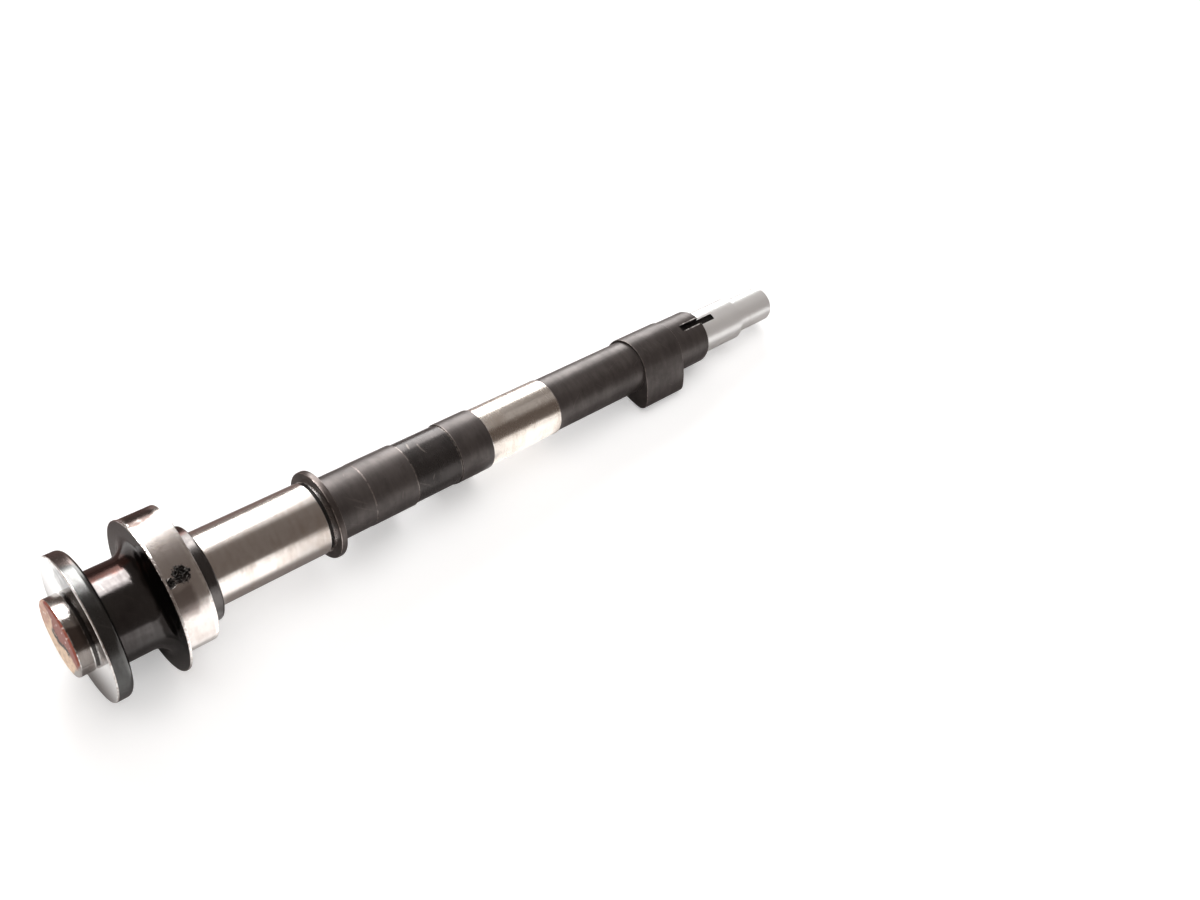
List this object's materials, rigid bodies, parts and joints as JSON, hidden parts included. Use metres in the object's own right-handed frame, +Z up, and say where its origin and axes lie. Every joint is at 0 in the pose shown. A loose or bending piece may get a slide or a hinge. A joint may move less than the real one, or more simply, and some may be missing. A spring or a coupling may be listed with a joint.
{
  "type": "camshaft",
  "caption": "Steel camshaft with front flanges, a ground drive cam, valve cams, two bearing journals, a thrust flange and a keyed rear drive seat.",
  "frame": {"origin": "centre of the front journal, on the shaft's axis", "axes": "+X along the shaft from the front stub to the rear tail, +Z up as the shaft lies"},
  "size_m": [0.3408, 0.056, 0.056],
  "materials": {
    "steel": "satin"
  },
  "bodies": {
    "root": {"camshaft": "steel"}
  },
  "joints": []
}
